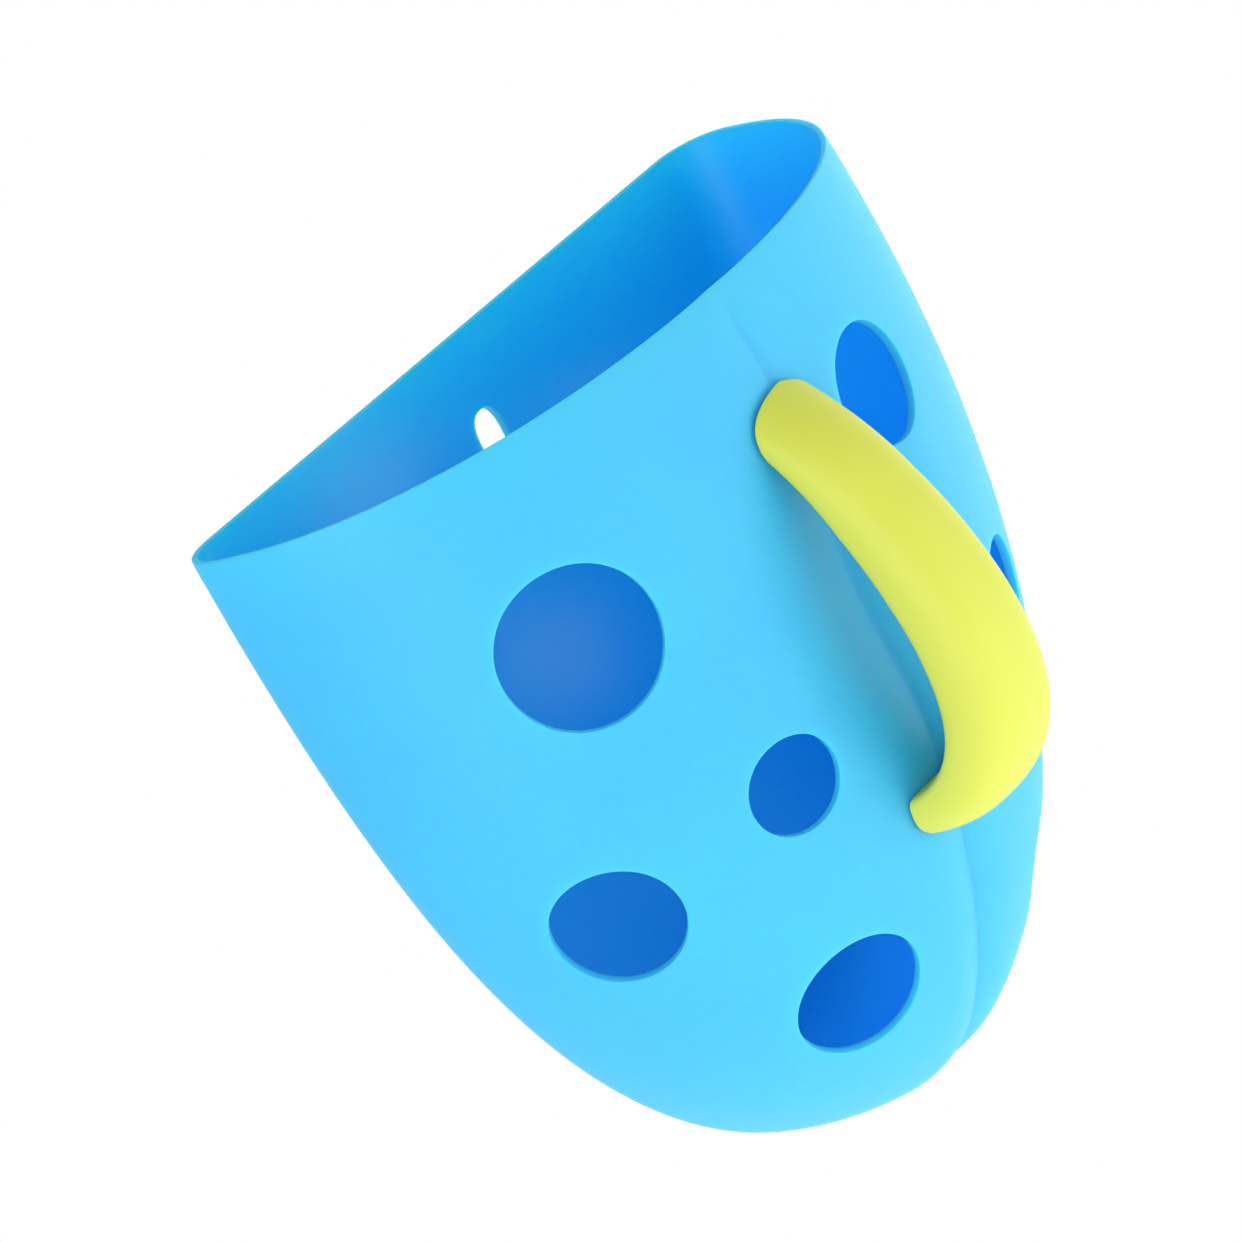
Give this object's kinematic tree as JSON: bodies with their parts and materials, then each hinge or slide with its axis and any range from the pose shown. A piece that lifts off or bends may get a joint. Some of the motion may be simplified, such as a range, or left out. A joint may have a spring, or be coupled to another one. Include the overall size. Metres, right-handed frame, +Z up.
{
  "type": "bath toy scoop",
  "caption": "Wall-hung plastic scoop that gathers and drains bath toys: flat back with a hanging hole, two rounded front lobes with round drain holes, and a fixed grab handle.",
  "frame": {"origin": "centre of the hanging hole, on the plane of the wall", "axes": "+Z up, +Y into the wall, the front with the handle faces -Y, +X to the right for someone facing the front"},
  "size_m": [0.2168, 0.1364, 0.2219],
  "materials": {
    "scoop_plastic": "satin moulded plastic, sky blue",
    "handle_plastic": "satin moulded plastic, lime yellow"
  },
  "bodies": {
    "root": {"scoop_body": "scoop_plastic", "handle_shell": "handle_plastic", "handle_cover": "handle_plastic"}
  },
  "joints": []
}
